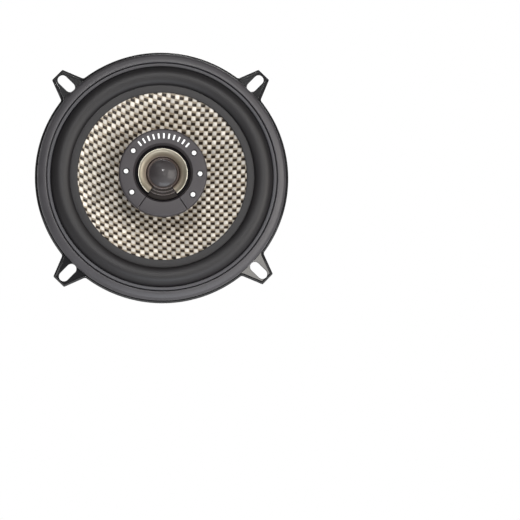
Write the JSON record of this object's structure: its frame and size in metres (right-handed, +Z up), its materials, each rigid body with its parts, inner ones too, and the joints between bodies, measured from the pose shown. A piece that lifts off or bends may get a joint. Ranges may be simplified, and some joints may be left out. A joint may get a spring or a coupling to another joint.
{
  "type": "coaxial car speaker",
  "caption": "Round two-way car speaker: woven cone with rubber surround, tweeter on a central post, four slotted ears, vented basket, covered magnet and push-on terminals behind.",
  "frame": {"origin": "centre of the mounting plane, which is the rear face of the basket's flange", "axes": "+Y along the speaker's axis towards the magnet, so the front faces -Y; +Z up, with the terminals at the bottom; +X to the right seen from the front"},
  "size_m": [0.13, 0.0596, 0.13],
  "materials": {
    "black_paint": "gloss black paint on pressed steel",
    "gasket_grey": "dark grey moulded gasket, satin",
    "surround_rubber": "black butyl rubber, satin",
    "woven_cone": "stiff two-tone plain weave, ivory and black yarns, lightly coated",
    "spider_cloth": "resin-dipped cotton cloth",
    "coil_former": "amber film",
    "copper": "enamelled copper wire",
    "plated_steel": "zinc-plated steel",
    "ferrite": "sintered ferrite, matt",
    "black_vinyl": "gloss black moulded vinyl",
    "label_black": "satin black foil with plain white rings and ticks",
    "bezel_plastic": "fine-grained charcoal plastic",
    "white_plastic": "white moulded plastic",
    "champagne_film": "champagne coloured glossy film",
    "dome_film": "smoked glossy film",
    "fibre_board": "grey-green vulcanised fibre",
    "tinned_metal": "tinned brass and bright solder",
    "lead_insulation": "silver-grey clear insulation",
    "resistor_enamel": "off-white enamel with red and ochre rings",
    "capacitor_sleeve": "blue sleeve"
  },
  "bodies": {
    "chassis": {"basket": "black_paint", "basket_flange": "black_paint", "mounting_gasket": "gasket_grey", "surround_clamp_ring": "gasket_grey", "spider_ring": "bezel_plastic", "top_plate": "plated_steel", "magnet_ring": "ferrite", "t_yoke": "plated_steel", "magnet_cover": "black_vinyl", "rear_label": "label_black", "terminal_board": "fibre_board", "terminal_eyelet": "tinned_metal", "terminal_tab_positive": "tinned_metal", "terminal_tab_negative": "tinned_metal", "solder_joint_positive": "tinned_metal", "solder_joint_negative": "tinned_metal", "tweeter_lead_positive": "lead_insulation", "tweeter_lead_negative": "lead_insulation", "series_resistor": "resistor_enamel", "resistor_wire_inner": "tinned_metal", "resistor_wire_outer": "tinned_metal", "tweeter_post": "plated_steel", "tweeter_cup": "bezel_plastic", "tweeter_bezel": "bezel_plastic", "tweeter_wedge": "bezel_plastic", "tweeter_frame": "bezel_plastic", "tweeter_reflector": "champagne_film", "tweeter_plate": "plated_steel", "tweeter_magnet": "plated_steel", "tweeter_yoke": "plated_steel", "tweeter_capacitor": "capacitor_sleeve", "basket_rivet_1": "plated_steel", "basket_rivet_2": "plated_steel", "basket_rivet_3": "plated_steel", "basket_rivet_4": "plated_steel", "bezel_stud_1": "white_plastic", "bezel_stud_2": "white_plastic", "bezel_stud_3": "white_plastic", "bezel_stud_4": "white_plastic", "bezel_stud_5": "white_plastic", "bezel_stud_6": "white_plastic"},
    "moving_cone": {"cone": "woven_cone", "voice_coil_former": "coil_former", "voice_coil": "copper", "surround": "surround_rubber", "spider": "spider_cloth", "tinsel_lead_positive": "copper", "tinsel_lead_negative": "copper"},
    "tweeter_diaphragm": {"tweeter_dome": "dome_film", "tweeter_coil": "copper", "tweeter_surround": "champagne_film"}
  },
  "joints": [
    {"name": "cone_travel", "type": "slide", "parent": "chassis", "child": "moving_cone", "axis": [0, -1, 0], "range_m": [-0.004, 0.004], "stiffness_N_per_m": 1500, "deforming": ["surround", "spider", "tinsel_lead_positive", "tinsel_lead_negative"]},
    {"name": "dome_travel", "type": "slide", "parent": "chassis", "child": "tweeter_diaphragm", "axis": [0, -1, 0], "range_m": [-0.00025, 0.00025], "stiffness_N_per_m": 60, "deforming": ["tweeter_surround"]}
  ]
}
